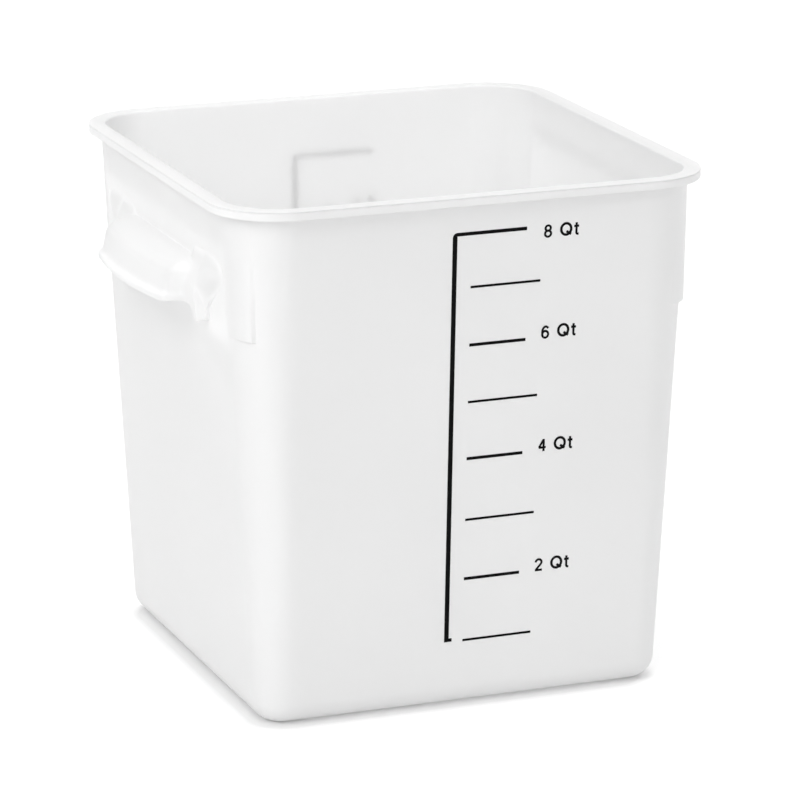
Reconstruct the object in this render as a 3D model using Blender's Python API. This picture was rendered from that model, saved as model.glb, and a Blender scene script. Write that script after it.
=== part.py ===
# Square food storage container: an open, tapered tub with two finger handles and two printed scales.
# Metres, +Z up. X runs along the front wall and Y from the front wall to the back wall.
# The origin is on the underside of the floor, in its middle.

import math

import bmesh
import bpy
from mathutils import Matrix, Vector

NAME = "food_storage_container"

# Overall size, over the rim
WIDTH = 0.222
DEPTH = 0.222
HEIGHT = 0.230

# Clearance between neighbouring pieces, and how far a cutter runs past what it cuts
GAP = 0.0003
OVERRUN = 0.004

# Walls, floor and foot
WALL = 0.0024
FLOOR = 0.0030
LEAN = 0.0126             # how much further in the wall stands at the floor than at the rim
FOOT_RADIUS = 0.0092
LEAST_RADIUS = 0.0015
FOOT_STEPS = 6

# Rim: a flat flange turned out from the wall, with a lip turned down at its edge
RIM_CORNER = 0.031
RIM_OVERHANG = 0.0052
RIM_PLATE = 0.0024
RIM_FACE = 0.0039
RIM_LIP = 0.0020
RIM_ROUND = 0.0007
ROUND_STEPS = 3
CORNER_STEPS = 10

# Stacking lugs at the corners: flush with the wall near the rim, proud of it at their lower end
LUG_LENGTH = 0.048
LUG_DROP = 0.0088         # from the top of the rim to where a lug comes flush
LUG_PROUD = 0.00185
LUG_ROOT = 0.0012         # how deep a lug is rooted in the wall
LUG_STEPS = 8
LUG_ENDS_SHARE = 0.97
# For each corner: the signs of X and Y, the side it turns towards, and its start as a share of the corner
LUG_PLACES = (
    (-1, -1, "y", 0.50),
    (-1, 1, "y", 0.50),
    (1, -1, "x", 0.36),
    (1, 1, "x", 0.36),
)

# Finger handles: a hood that bows out from the side wall, on a low pad that spreads along the wall
HOOD_HALF = 0.0446        # half the length of the hood along the wall
HOOD_REACH = 0.0220       # how far its lower edge stands out at mid length
HOOD_BOW = 0.0043         # how much less that is at its ends
HOOD_DROP = 0.0320        # from the top of the rim to the top of the hood
HOOD_TALL = 0.0180
HOOD_THICK = 0.0022
FINGER_ROUND = 0.0040     # at the ends of the finger space
LEG_TALL = 0.0073         # the legs reach down below the hood, one past each of its ends
LEG_STEP = 0.0088         # from the end of the hood to the inner side of a leg
LEG_WIDE = 0.0026
LEG_ROUND = 0.0060        # of the corner between the hood's lower edge and a leg
LEG_HALF = HOOD_HALF + LEG_STEP + LEG_WIDE
PAD_SPREAD = 0.0225       # how far the pad runs on past the legs
PAD_HALF = LEG_HALF + PAD_SPREAD
PAD_RISE = 0.0090         # how far the pad reaches above the hood
PAD_EDGE = 0.0007         # how far it stands out at its edge
PAD_SWELL = 0.0062        # and beside the end of the hood
PAD_BLEND = 0.0016        # how softly the hood runs into the pad
# The outside of the hood: height as a share, the share of its reach there, and the share of its length
HOOD_SHARES = (
    (0.00, 1.000, 1.00), (0.145, 1.000, 1.00), (0.18, 0.885, 1.00), (0.34, 0.842, 1.00),
    (0.50, 0.802, 1.00), (0.64, 0.762, 1.00), (0.74, 0.705, 0.995), (0.81, 0.620, 0.985),
    (0.87, 0.495, 0.965), (0.935, 0.275, 0.93), (1.00, 0.035, 0.87),
)
# Stations along the handle: 0 to 1 is the hood, 1 to 2 runs from its end to the outer side of the leg, and
# 2 to 3 is the rest of the pad. First, the share of the hood's reach that is left at a station.
HOOD_END_SHARES = (
    (0.00, 1.00), (0.90, 1.00), (0.95, 0.985), (0.98, 0.95), (1.00, 0.90), (1.05, 0.78), (1.12, 0.62),
    (1.20, 0.49), (1.33, 0.37), (1.46, 0.285), (1.62, 0.215), (1.86, 0.14), (2.13, 0.06), (2.49, 0.00),
    (3.00, 0.00),
)
# The pad at a station: its swell, where it starts as a share of its height, and its rise, as shares
PAD_SHARES = (
    (0.00, 0.00, 0.00, 0.15), (0.84, 0.00, 0.00, 0.15), (0.94, 0.06, 0.00, 0.36), (1.05, 0.20, 0.00, 0.64),
    (1.20, 0.38, 0.00, 0.80), (1.46, 0.62, 0.00, 0.93), (1.75, 0.90, 0.00, 0.98), (2.00, 1.00, 0.00, 1.00),
    (2.05, 0.96, 0.12, 1.00), (2.156, 0.88, 0.23, 0.98),
    (2.44, 0.62, 0.37, 0.94), (2.72, 0.36, 0.45, 0.85), (2.89, 0.17, 0.50, 0.70), (2.97, 0.05, 0.58, 0.39),
    (3.00, 0.00, 0.66, 0.01),
)
# The swell near an edge of the pad: distance from the edge as a share of its height, and what is left
PAD_FADE_SHARES = ((0.00, 0.00), (0.03, 0.30), (0.09, 0.56), (0.18, 0.76), (0.32, 0.93), (0.50, 1.00))
# How much of the hood's narrowing towards its top a station of the grid follows
FOLLOW_SHARES = ((0.00, 1.00), (1.33, 1.00), (2.00, 0.00), (3.00, 0.00))
# Where the grid of the handle has its columns, as stations, and its rows above the hood
COLUMN_SHARES = (
    0, 0.16, 0.32, 0.48, 0.64, 0.76, 0.84, 0.90, 0.94, 0.965, 0.98, 1, 1.05, 1.12, 1.20, 1.33, 1.46,
    1.62, 1.75, 1.88, 2, 2.05, 2.156, 2.30, 2.44, 2.58, 2.72, 2.83, 2.91, 2.97, 3,
)
PAD_ROW_SHARES = (0.12, 0.35, 0.65, 0.88, 1)
# The finger space under the hood: its sections from end to end, and its rows up the inside of the hood
FINGER_SHARES = (-1, -0.975, -0.93, -0.6, -0.3, 0, 0.3, 0.6, 0.93, 0.975, 1)
FINGER_ROW_SHARES = (0.36, 0.64, 0.81)

# Printed scales: thin ink on the outside of the front and back walls
INK = 0.0002
BAR_WIDE = 0.0018         # the upright of the frame
TOP_WIDE = 0.00135        # its top line
TICK_THICK = 0.0013
TICK_THIN = 0.0009
TICK_SHORT = 0.0257
TICK_LONG = 0.0318
TICK_INSET = 0.0075       # from the middle of the upright to the ticks
BAR_CORNER = 0.0022
BAR_HOOK = 0.0024
LETTER_HIGH = 0.0057
LETTER_GAP = 0.0066       # from the end of a short tick to its label
LETTER_STEPS = 3
CAPITAL_SHARE = 0.70      # height of a capital as a share of the size of its type
NARROW_SHARE = 0.92       # width of the letters as a share of their plain width
# From the start of the number to the unit and to its second letter, and the unit's width, as shares
UNIT_START_SHARE = 1.32
UNIT_NEXT_SHARE = 2.36
UNIT_WIDE_SHARE = 0.63
ARC_STEPS = 5
# Front scale, in quarts
QUART_PLACE = -0.0098     # X of the upright
QUART_TOP = 0.0326        # length of the top line
QUART_SHARES = (0.1309, 0.2539, 0.3709, 0.4913, 0.6017, 0.7122, 0.8235, 0.9257)
# Back scale, in litres, printed the other way round
LITRE_PLACE = -0.0064
LITRE_TOP = 0.0390
LITRE_SHARES = (0.158, 0.287, 0.411, 0.5365, 0.653, 0.770, 0.884)

SMOOTH_ANGLE = math.radians(30)
QUARTER_TURN = math.radians(90)

# Linear values for the finishes
WHITE = (0.86, 0.87, 0.86, 1.0)
BLACK = (0.012, 0.012, 0.013, 1.0)


def clear_scene():
    for item in list(bpy.data.objects):
        bpy.data.objects.remove(item)


def new_collection(name):
    collection = bpy.data.collections.new(name)
    bpy.context.scene.collection.children.link(collection)
    return collection


def new_material(name, colour, roughness):
    material = bpy.data.materials.new(name)
    material.use_nodes = True
    shader = material.node_tree.nodes["Principled BSDF"]
    shader.inputs["Base Color"].default_value = colour
    shader.inputs["Roughness"].default_value = roughness
    shader.inputs["Metallic"].default_value = 0.0
    return material


def add_object(name, data, collection, material):
    item = bpy.data.objects.new(name, data)
    collection.objects.link(item)
    if material is not None:
        data.materials.append(material)
    return item


def add_cutter(name, mesh, collection):
    item = add_object(name, mesh, collection, None)
    item.hide_render = True
    item.display_type = "WIRE"
    return item


def cut(item, tool, operation):
    modifier = item.modifiers.new(tool.name, "BOOLEAN")
    modifier.operation = operation
    modifier.solver = "EXACT"
    modifier.object = tool


def smooth(mesh):
    mesh.shade_smooth()
    mesh.set_sharp_from_angle(angle=SMOOTH_ANGLE)


def loft(name, rings):
    """A closed mesh through rings of equal length, with the first and the last ring filled."""
    mesh = bpy.data.meshes.new(name)
    form = bmesh.new()
    rows = [[form.verts.new(point) for point in ring] for ring in rings]
    count = len(rings[0])
    for low, high in zip(rows, rows[1:]):
        for i in range(count):
            j = (i + 1) % count
            form.faces.new((low[i], low[j], high[j], high[i]))
    form.faces.new(rows[0])
    form.faces.new(rows[-1])
    bmesh.ops.recalc_face_normals(form, faces=form.faces)
    form.to_mesh(mesh)
    form.free()
    return mesh


def between(table, place, column):
    """A column of a table of shares, read at a place between its rows."""
    for low, high in zip(table, table[1:]):
        if place <= high[0]:
            part = (place - low[0]) / (high[0] - low[0])
            return low[column] + (high[column] - low[column]) * part
    return table[-1][column]


def wall_inset(height):
    """How far inside the edge of the rim the outside of the wall stands."""
    return RIM_OVERHANG + LEAN * (1 - height / HEIGHT)


def rounded_square(inset, height):
    """A ring of points, parallel to the edge of the rim."""
    radius = max(RIM_CORNER - inset, LEAST_RADIUS)
    x = WIDTH / 2 - inset - radius
    y = DEPTH / 2 - inset - radius
    ring = []
    for quarter, (side_x, side_y) in enumerate(((1, 1), (-1, 1), (-1, -1), (1, -1))):
        for step in range(CORNER_STEPS + 1):
            angle = QUARTER_TURN * (quarter + step / CORNER_STEPS)
            along = side_x * x + radius * math.cos(angle)
            across = side_y * y + radius * math.sin(angle)
            ring.append((along, across, height))
    return ring


def quarter_round(radius, steps):
    """Distances from the two tangent sides of a quarter round, from one side to the other."""
    points = []
    for step in range(steps + 1):
        angle = QUARTER_TURN * step / steps
        points.append((radius * (1 - math.sin(angle)), radius * (1 - math.cos(angle))))
    return points


def make_tub(collection, cutters, plastic):
    foot = quarter_round(FOOT_RADIUS, FOOT_STEPS)
    edge = quarter_round(RIM_ROUND, ROUND_STEPS)
    inner_foot = quarter_round(max(FOOT_RADIUS - WALL, LEAST_RADIUS), FOOT_STEPS)
    rings = [rounded_square(wall_inset(up) + side, up) for side, up in foot]
    plate = HEIGHT - RIM_PLATE
    rings.append(rounded_square(wall_inset(plate), plate))
    rings.append(rounded_square(RIM_LIP, plate))
    rings.append(rounded_square(RIM_LIP, HEIGHT - RIM_FACE))
    rings.append(rounded_square(0, HEIGHT - RIM_FACE))
    rings += [rounded_square(down, HEIGHT - side) for side, down in edge]
    bore = RIM_OVERHANG + WALL
    rings += [rounded_square(bore - side, HEIGHT - down) for down, side in reversed(edge)]
    for side, up in reversed(inner_foot):
        rings.append(rounded_square(wall_inset(FLOOR + up) + WALL + side, FLOOR + up))
    tub = add_object("tub", loft("tub", rings), collection, plastic)
    for number, place in enumerate(LUG_PLACES):
        cut(tub, add_cutter(f"lug_{number + 1}", lug_mesh(number + 1, *place), cutters), "UNION")
    smooth(tub.data)


def lug_mesh(number, side_x, side_y, towards, start):
    """A slice of a ring that follows one corner of the wall, swept from its lower end to the rim."""
    flush = HEIGHT - LUG_DROP
    low = flush - LUG_LENGTH
    high = HEIGHT - RIM_FACE - GAP
    rings = []
    for height in (low, high):
        wall = RIM_CORNER - wall_inset(height)
        outer = wall + LUG_PROUD * (flush - height) / LUG_LENGTH
        ring = []
        for radius, steps in ((outer, range(LUG_STEPS + 1)), (wall - LUG_ROOT, range(LUG_STEPS, -1, -1))):
            for step in steps:
                share = start + (LUG_ENDS_SHARE - start) * step / LUG_STEPS
                along = radius * math.sin(QUARTER_TURN * share)
                across = radius * math.cos(QUARTER_TURN * share)
                x, y = (along, across) if towards == "x" else (across, along)
                ring.append((
                    side_x * (WIDTH / 2 - RIM_CORNER + x),
                    side_y * (DEPTH / 2 - RIM_CORNER + y),
                    height,
                ))
        rings.append(ring)
    return loft(f"lug_{number}", rings)


def wall_point(along, out, height):
    """A point beside the left wall: its Y, its distance out from the wall and its height."""
    return Vector((-(WIDTH / 2 - wall_inset(height) + out), along, height))


def pad_place(station):
    """The place along the wall that a station of the handle stands for."""
    return between(((0, 0), (1, HOOD_HALF), (2, LEG_HALF), (3, PAD_HALF)), station, 1)


def pad_station(place):
    return between(((0, 0), (HOOD_HALF, 1), (LEG_HALF, 2), (PAD_HALF, 3)), abs(place), 1)


def hood_out(station, share):
    """How far the outside of the hood stands out, at a station and a share of its height."""
    reach = HOOD_REACH - HOOD_BOW * min(station, 1) ** 2
    return reach * between(HOOD_END_SHARES, station, 1) * between(HOOD_SHARES, share, 1)


def pad_out(station, rise):
    """How far the pad stands out, at a station and a share of its height there."""
    swell, low = (between(PAD_SHARES, station, column) for column in (1, 2))
    fade = between(PAD_FADE_SHARES, 1 - rise, 1)
    if low > 0:
        fade *= between(PAD_FADE_SHARES, rise, 1)
    return PAD_EDGE + (PAD_SWELL - PAD_EDGE) * swell * fade


def soft_larger(one, other, blend):
    """The larger of two lengths, eased where they are nearly alike."""
    near = max(blend - abs(one - other), 0) / blend
    return max(one, other) + near ** 2 * blend / 4


def handle_column(station, side):
    """The points of the outside of the handle at one station, from its lower edge up. The side is -1 or 1."""
    low, crest = (between(PAD_SHARES, station, column) for column in (2, 3))
    hood_top = HEIGHT - HOOD_DROP
    hood_low = hood_top - HOOD_TALL
    bottom = hood_low - LEG_TALL
    top = hood_top + PAD_RISE * crest
    start = bottom + (LEG_TALL + HOOD_TALL + PAD_RISE) * low
    heights = [bottom, bottom + LEG_TALL / 2]
    heights += [hood_low + HOOD_TALL * row[0] for row in HOOD_SHARES]
    heights += [hood_top + PAD_RISE * crest * share for share in PAD_ROW_SHARES]
    points = []
    for height in heights:
        rise = (height - bottom) / (top - bottom)
        seat = start + (top - start) * rise
        share = min(max((seat - hood_low) / HOOD_TALL, 0), 1)
        narrowing = (1 - between(HOOD_SHARES, share, 2)) * between(FOLLOW_SHARES, station, 1)
        hood = hood_out(station, share) if seat <= hood_top else 0
        out = soft_larger(hood, pad_out(station, rise), PAD_BLEND)
        points.append(wall_point(side * pad_place(station) * (1 - narrowing), out, seat))
    return points


def handle_mesh(name):
    """The hood and its pad as one solid: a grid over the wall, and a flat back beside the wall."""
    columns = [handle_column(station, -1) for station in reversed(COLUMN_SHARES[1:])]
    columns += [handle_column(station, 1) for station in COLUMN_SHARES]
    mesh = bpy.data.meshes.new(name)
    form = bmesh.new()
    grid = [[form.verts.new(point) for point in column] for column in columns]
    for near, far in zip(grid, grid[1:]):
        for i in range(len(near) - 1):
            form.faces.new((near[i], far[i], far[i + 1], near[i + 1]))
    border = [column[0] for column in grid] + grid[-1][1:]
    border += [column[-1] for column in reversed(grid[:-1])] + list(reversed(grid[0][1:-1]))
    back = [form.verts.new(wall_point(point.co.y, GAP, point.co.z)) for point in border]
    for i in range(len(border)):
        j = (i + 1) % len(border)
        form.faces.new((border[i], border[j], back[j], back[i]))
    form.faces.new(back)
    bmesh.ops.recalc_face_normals(form, faces=form.faces)
    form.to_mesh(mesh)
    form.free()
    return mesh


def finger_mesh(name):
    """The hollow under the hood, from inside the wall to the thickness of the hood."""
    hood_low = HEIGHT - HOOD_DROP - HOOD_TALL
    floor = hood_low - LEG_TALL - OVERRUN
    roof = hood_low + HOOD_TALL - HOOD_THICK
    half = HOOD_HALF - HOOD_THICK
    rings = []
    for share in FINGER_SHARES:
        place = half * share
        into_round = max(abs(place) - half + FINGER_ROUND, 0)
        less = FINGER_ROUND - math.sqrt(FINGER_ROUND ** 2 - into_round ** 2) + HOOD_THICK
        ring = [wall_point(place, -OVERRUN, floor)]
        for rise in (0,) + FINGER_ROW_SHARES:
            height = hood_low + HOOD_TALL * rise - HOOD_THICK / 2 if rise else floor
            inner = max(rise, FINGER_ROW_SHARES[0])
            station = pad_station(place / between(HOOD_SHARES, inner, 2))
            ring.append(wall_point(place, hood_out(station, inner) - less, height))
        ring.append(wall_point(place, GAP, roof))
        ring.append(wall_point(place, -OVERRUN, roof))
        rings.append(ring)
    return loft(name, rings)


def arch_mesh(name):
    """What is cut away between the legs: a wide arch with round upper corners."""
    top = HEIGHT - HOOD_DROP - HOOD_TALL
    floor = top - LEG_TALL - OVERRUN
    half = LEG_HALF - LEG_WIDE
    outline = [(-half, floor), (half, floor)]
    for step in range(ARC_STEPS + 1):
        angle = QUARTER_TURN * step / ARC_STEPS
        outline.append((half - LEG_ROUND * (1 - math.cos(angle)), top - LEG_ROUND * (1 - math.sin(angle))))
    for step in range(ARC_STEPS, -1, -1):
        angle = QUARTER_TURN * step / ARC_STEPS
        outline.append((-half + LEG_ROUND * (1 - math.cos(angle)), top - LEG_ROUND * (1 - math.sin(angle))))
    rings = []
    for out in (-OVERRUN, HOOD_REACH + OVERRUN):
        rings.append([wall_point(place, out, height) for place, height in outline])
    return loft(name, rings)


def make_handle(name, turn, collection, cutters, plastic):
    handle = add_object(name, handle_mesh(name), collection, plastic)
    finger = add_cutter(f"{name}_finger_space", finger_mesh(f"{name}_finger_space"), cutters)
    arch = add_cutter(f"{name}_arch", arch_mesh(f"{name}_arch"), cutters)
    for item in (handle, finger, arch):
        item.rotation_euler.z = turn
    cut(handle, arch, "DIFFERENCE")
    cut(handle, finger, "DIFFERENCE")
    smooth(handle.data)


def ink_frame(turn):
    """Turns flat ink to stand on the front wall, or with a half turn on the back wall."""
    lean = math.atan2(LEAN, HEIGHT)
    stand = Matrix.Rotation(QUARTER_TURN + lean, 4, "X")
    seat = Matrix.Translation((0, -(DEPTH / 2 - wall_inset(0)), 0))
    lift = Matrix.Translation((0, 0, GAP + INK / 2))
    return Matrix.Rotation(turn, 4, "Z") @ seat @ stand @ lift


def up_wall(height):
    """A height above the floor, measured up along the leaning wall."""
    return height * math.sqrt(HEIGHT ** 2 + LEAN ** 2) / HEIGHT


def flat_ink(name, outline, turn, collection, ink):
    curve = bpy.data.curves.new(name, "CURVE")
    curve.dimensions = "2D"
    curve.fill_mode = "BOTH"
    curve.extrude = INK / 2
    spline = curve.splines.new("POLY")
    spline.points.add(len(outline) - 1)
    for point, (x, y) in zip(spline.points, outline):
        point.co = (x, y, 0, 1)
    spline.use_cyclic_u = True
    item = add_object(name, curve, collection, ink)
    item.matrix_world = ink_frame(turn)
    return item


def frame_outline(place, way, top, bottom, length):
    """The upright and the top line, with a round corner between them and a short hook at the foot."""
    left = -BAR_WIDE / 2
    right = BAR_WIDE / 2
    outline = [(right, bottom + TOP_WIDE), (right, top - TOP_WIDE), (length, top - TOP_WIDE), (length, top)]
    for step in range(ARC_STEPS + 1):
        angle = QUARTER_TURN * step / ARC_STEPS
        outline.append((left + BAR_CORNER * (1 - math.sin(angle)), top - BAR_CORNER * (1 - math.cos(angle))))
    outline += [(left, bottom), (BAR_HOOK, bottom), (BAR_HOOK, bottom + TOP_WIDE)]
    return [(place + way * x, y) for x, y in outline]


def make_scale(name, unit, place, way, top_length, shares, turn, collection, ink):
    """A frame, its ticks and a label at every second tick. The way is -1 where it runs to the left."""
    heights = [up_wall(HEIGHT * share) for share in shares]
    top = heights[-1] + TOP_WIDE / 2
    outline = frame_outline(place, way, top, heights[0], top_length)
    flat_ink(f"{name}_frame", outline, turn, collection, ink)
    for number, height in enumerate(heights[:-1], 1):
        even = number % 2 == 0
        length = TICK_SHORT if even else TICK_LONG
        half = (TICK_THICK if even else TICK_THIN) / 2
        near = place + way * TICK_INSET
        far = near + way * length
        tick = [(near, height - half), (far, height - half), (far, height + half), (near, height + half)]
        flat_ink(f"{name}_tick_{number}", tick, turn, collection, ink)
    for number, height in enumerate(heights, 1):
        if number % 2 == 0:
            low = height - LETTER_HIGH if number == len(heights) else height
            near = place + way * (TICK_INSET + TICK_SHORT + LETTER_GAP)
            start = near if way > 0 else near - LETTER_HIGH * (UNIT_START_SHARE + UNIT_WIDE_SHARE)
            label = f"{name}_label_{number}"
            make_letter(f"{label}_number", str(number), start, low, turn, collection, ink)
            for letter, step in unit:
                next_start = start + LETTER_HIGH * step
                make_letter(f"{label}_{letter}", letter, next_start, low, turn, collection, ink)


def make_letter(name, letter, x, y, turn, collection, ink):
    curve = bpy.data.curves.new(name, "FONT")
    curve.body = letter
    curve.size = LETTER_HIGH / CAPITAL_SHARE
    curve.extrude = INK / 2
    curve.resolution_u = LETTER_STEPS
    item = add_object(name, curve, collection, ink)
    narrow = Matrix.Diagonal((NARROW_SHARE, 1, 1, 1))
    item.matrix_world = ink_frame(turn) @ Matrix.Translation((x, y, 0)) @ narrow


def make_container():
    clear_scene()
    parts = new_collection(NAME)
    cutters = new_collection("cutters")
    plastic = new_material("white_polyethylene", WHITE, 0.45)
    ink = new_material("black_ink", BLACK, 0.5)
    make_tub(parts, cutters, plastic)
    make_handle("handle_left", 0, parts, cutters, plastic)
    make_handle("handle_right", math.pi, parts, cutters, plastic)
    quart = (("Q", UNIT_START_SHARE), ("t", UNIT_NEXT_SHARE))
    litre = (("L", UNIT_START_SHARE),)
    make_scale("quart_scale", quart, QUART_PLACE, 1, QUART_TOP, QUART_SHARES, 0, parts, ink)
    make_scale("litre_scale", litre, -LITRE_PLACE, -1, LITRE_TOP, LITRE_SHARES, math.pi, parts, ink)


make_container()
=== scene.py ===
# Square food storage container: an open white tub with two finger handles and two printed scales.
import math

import bmesh
import bpy
from mathutils import Matrix, Vector


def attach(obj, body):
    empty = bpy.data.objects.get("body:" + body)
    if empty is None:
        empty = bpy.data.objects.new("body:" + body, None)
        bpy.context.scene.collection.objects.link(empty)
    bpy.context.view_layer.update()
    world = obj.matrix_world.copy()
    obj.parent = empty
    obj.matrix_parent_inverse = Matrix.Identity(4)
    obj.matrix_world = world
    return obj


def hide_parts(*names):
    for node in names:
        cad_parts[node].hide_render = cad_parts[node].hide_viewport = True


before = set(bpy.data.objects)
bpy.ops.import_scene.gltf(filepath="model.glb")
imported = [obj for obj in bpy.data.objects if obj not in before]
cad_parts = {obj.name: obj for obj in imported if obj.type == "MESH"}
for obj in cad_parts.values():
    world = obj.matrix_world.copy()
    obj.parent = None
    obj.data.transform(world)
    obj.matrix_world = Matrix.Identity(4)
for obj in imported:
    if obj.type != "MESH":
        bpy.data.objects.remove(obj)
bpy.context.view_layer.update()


# The polyethylene: white, a little translucent, with the soft sheen and the faint unevenness that a
# moulding takes from its steel. The tub and its handles are all of it.
POLYETHYLENE = (0.97, 0.97, 0.97, 1.0)
POLYETHYLENE_DEEP = (0.95, 0.95, 0.95, 1.0)
POLYETHYLENE_ROUGH = (0.38, 0.47)
POLYETHYLENE_GLOSS = 0.5
# Its faint clouds, its uneven sheen and its grain: features to the metre, detail and distortion
CLOUDS = (14, 3)
SHEEN = (60, 4, 0.4)
GRAIN = (1400, 2)
GRAIN_RELIEF = (0.06, 0.00004)      # strength and depth
CLOUD_PLACES = (0.35, 0.65)         # where in the pattern the two colours of any finish are reached
SHEEN_PLACES = (0.3, 0.7)           # and the two levels of its sheen
# How much of the light that enters a wall comes out at its other side, by distance from the middle plane
# at the foot, measured along the lean of the side walls: much through the back, less through the side walls
# and the hoods of the handles, and least through the solid pads beside them
THROUGH_SHARES = (
    (0.070, 0.56), (0.086, 0.28), (0.0933, 0.28), (0.0940, 0.11), (0.0990, 0.11), (0.1060, 0.46),
)
SIDE_LEAN = 0.0548
WIDEST = 0.115            # where the ramp of these shares ends
RIM_HEIGHTS = (0.2255, 0.2270)
RIM_SHARE = 0.8           # what the thick rim leaves of it
FRONT_PLACES = (-0.097, -0.085)
FRONT_SHARE = 0.35        # what the front wall leaves of it
# Where the plastic of a handle stands behind a side wall, almost nothing comes through: distance out, along
# and up, each from where this starts to where it is full
BACKED_OUT = (0.0940, 0.0934)
BACKED_ALONG = (0.088, 0.079)
BACKED_UP = ((0.160, 0.170), (0.216, 0.207))


def new_material(name, roughness, gloss):
    material = bpy.data.materials.new(name)
    material.use_nodes = True
    shader = material.node_tree.nodes["Principled BSDF"]
    shader.inputs["Roughness"].default_value = roughness
    shader.inputs["Specular IOR Level"].default_value = gloss
    return material, shader


def noise(tree, scale, detail, distortion=0.0):
    """A noise texture on Object coordinates, whose scale counts features to the metre."""
    texture = tree.nodes.new("ShaderNodeTexNoise")
    texture.inputs["Scale"].default_value = scale
    texture.inputs["Detail"].default_value = detail
    texture.inputs["Distortion"].default_value = distortion
    tree.links.new(tree.nodes.new("ShaderNodeTexCoord").outputs["Object"], texture.inputs["Vector"])
    return texture.outputs["Fac"]


def worked(tree, operation, *values):
    """A node that works out one number from others."""
    node = tree.nodes.new("ShaderNodeMath")
    node.operation = operation
    for i, value in enumerate(values):
        if isinstance(value, float):
            node.inputs[i].default_value = value
        else:
            tree.links.new(value, node.inputs[i])
    return node.outputs[0]


def stepped(tree, value, places, low=0.0, high=1.0):
    """Runs from the low to the high level while the value runs between the two places."""
    node = tree.nodes.new("ShaderNodeMapRange")
    for name, level in zip(("From Min", "From Max", "To Min", "To Max"), (*places, low, high)):
        node.inputs[name].default_value = level
    tree.links.new(value, node.inputs["Value"])
    return node.outputs["Result"]


def give_finish(material, shader, colours, rough, clouds, sheen, grain, relief):
    """Gives a finish its clouds of two colours, its uneven sheen and its grain."""
    tree = material.node_tree
    ramp = tree.nodes.new("ShaderNodeValToRGB")
    for stop, place, colour in zip(ramp.color_ramp.elements, CLOUD_PLACES, colours):
        stop.position = place
        stop.color = colour
    tree.links.new(noise(tree, *clouds), ramp.inputs["Fac"])
    tree.links.new(ramp.outputs["Color"], shader.inputs["Base Color"])
    tree.links.new(stepped(tree, noise(tree, *sheen), SHEEN_PLACES, *rough), shader.inputs["Roughness"])
    bump = tree.nodes.new("ShaderNodeBump")
    bump.inputs["Strength"].default_value, bump.inputs["Distance"].default_value = relief
    tree.links.new(noise(tree, *grain), bump.inputs["Height"])
    tree.links.new(bump.outputs["Normal"], shader.inputs["Normal"])


def through_walls(tree, socket):
    """The share of light that passes a wall, by its distance from the middle plane, height and side."""
    apart = tree.nodes.new("ShaderNodeSeparateXYZ")
    tree.links.new(tree.nodes.new("ShaderNodeTexCoord").outputs["Object"], apart.inputs[0])
    x, y, z = apart.outputs
    out = worked(tree, "MULTIPLY_ADD", z, -SIDE_LEAN, worked(tree, "ABSOLUTE", x))
    ramp = tree.nodes.new("ShaderNodeValToRGB")
    stops = ramp.color_ramp.elements
    while len(stops) < len(THROUGH_SHARES):
        stops.new(1.0)
    for stop, (apart_by, share) in zip(stops, THROUGH_SHARES):
        stop.position = apart_by / WIDEST
        stop.color = (share, share, share, 1.0)
    tree.links.new(stepped(tree, out, (0.0, WIDEST)), ramp.inputs["Fac"])
    share = worked(tree, "MULTIPLY", ramp.outputs["Color"], stepped(tree, z, RIM_HEIGHTS, 1.0, RIM_SHARE))
    share = worked(tree, "MULTIPLY", share, stepped(tree, y, FRONT_PLACES, FRONT_SHARE, 1.0))
    along = stepped(tree, worked(tree, "ABSOLUTE", y), BACKED_ALONG)
    backed = worked(tree, "MULTIPLY", stepped(tree, out, BACKED_OUT), along)
    for places in BACKED_UP:
        backed = worked(tree, "MULTIPLY", backed, stepped(tree, z, places))
    tree.links.new(worked(tree, "MULTIPLY", share, worked(tree, "SUBTRACT", 1.0, backed)), socket)


def make_polyethylene():
    material, shader = new_material("white_polyethylene", POLYETHYLENE_ROUGH[0], POLYETHYLENE_GLOSS)
    tree = material.node_tree
    through = tree.nodes.new("ShaderNodeBsdfTranslucent")
    through.inputs["Color"].default_value = POLYETHYLENE
    both = tree.nodes.new("ShaderNodeMixShader")
    through_walls(tree, both.inputs["Fac"])
    tree.links.new(shader.outputs[0], both.inputs[1])
    tree.links.new(through.outputs[0], both.inputs[2])
    tree.links.new(both.outputs[0], tree.nodes["Material Output"].inputs["Surface"])
    colours = (POLYETHYLENE_DEEP, POLYETHYLENE)
    give_finish(material, shader, colours, POLYETHYLENE_ROUGH, CLOUDS, SHEEN, GRAIN, GRAIN_RELIEF)
    return material


polyethylene = make_polyethylene()


# The tub: one thin-walled injection moulding, open at the top. Its walls lean out to a flat rim with a
# lip turned down. Four stacking lugs stand proud at the corners, and the two walls that carry the
# handles are set back a little near the rim, so that the corners beside them read as posts.
WIDTH = 0.222
HEIGHT = 0.230
WALL = 0.0024             # at the rim
WALL_THIN = 0.0016        # further down
WALL_DROPS = (0.004, 0.022)     # how far below the top it starts to thin and is thin
FLOOR = 0.0030
LEAN = 0.0126
FOOT_RADIUS = 0.0092
FOOT_RING = 0.0022        # the flat ring that the tub stands on
FOOT_RECESS = 0.0006
RECESS_STEPS = ((0, 0), (0.5, 0.2), (1, 0.5), (1.5, 0.8), (2, 1))     # in creases in, and recesses up
FOOT_STEPS = 9
RIM_CORNER = 0.031
RIM_OVERHANG = 0.0052
RIM_PLATE = 0.0024
RIM_FACE = 0.0039
RIM_LIP = 0.0020
RIM_ROUND = 0.0007
LIP_ROUND = 0.00035
NECK_ROUND = 0.0006
ROUND_STEPS = 4
TOP_EDGE = 0.00012
GROOVE_TOP = 0.00024      # the fine groove along the face of the rim, close under its top
GROOVE_LOW = 0.00056
GROOVE_DEEP = 0.00045
GROOVE_SLANT = 0.0001
CREASE = 0.0006           # from a rounded edge to the next row of the mesh
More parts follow.
